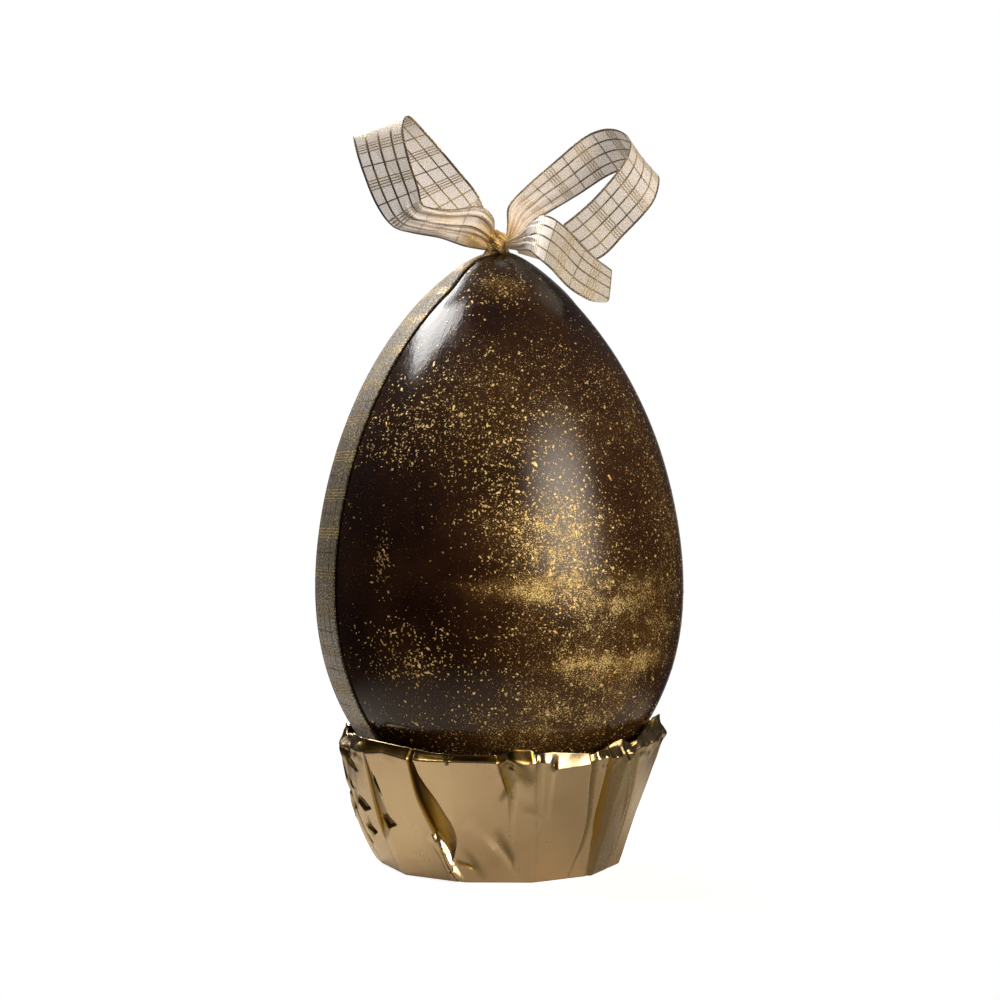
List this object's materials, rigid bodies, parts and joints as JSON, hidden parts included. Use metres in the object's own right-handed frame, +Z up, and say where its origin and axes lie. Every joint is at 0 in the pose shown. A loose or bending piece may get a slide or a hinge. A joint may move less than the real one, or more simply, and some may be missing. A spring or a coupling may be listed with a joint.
{
  "type": "chocolate egg",
  "caption": "Tall chocolate egg with gold dust, standing in a pleated gold foil cup, banded lengthways with sheer plaid ribbon tied in a bow on the tip.",
  "frame": {"origin": "middle of the foil cup's flat underside", "axes": "+Z up through the egg's tip, +X to the right and -Y to the front, from where the bow's loops spread left and right"},
  "size_m": [0.1538, 0.154, 0.3123],
  "materials": {
    "chocolate": "glossy dark chocolate dusted with gold flecks",
    "gold_foil": "crumpled satin gold foil",
    "organza": "sheer plaid organza with gold threads"
  },
  "bodies": {
    "root": {"egg": "chocolate", "foil_cup": "gold_foil", "ribbon_band": "organza", "bow_knot": "organza", "bow_loop_left": "organza", "bow_loop_right": "organza", "bow_tail_front": "organza", "bow_tail_back": "organza"}
  },
  "joints": []
}
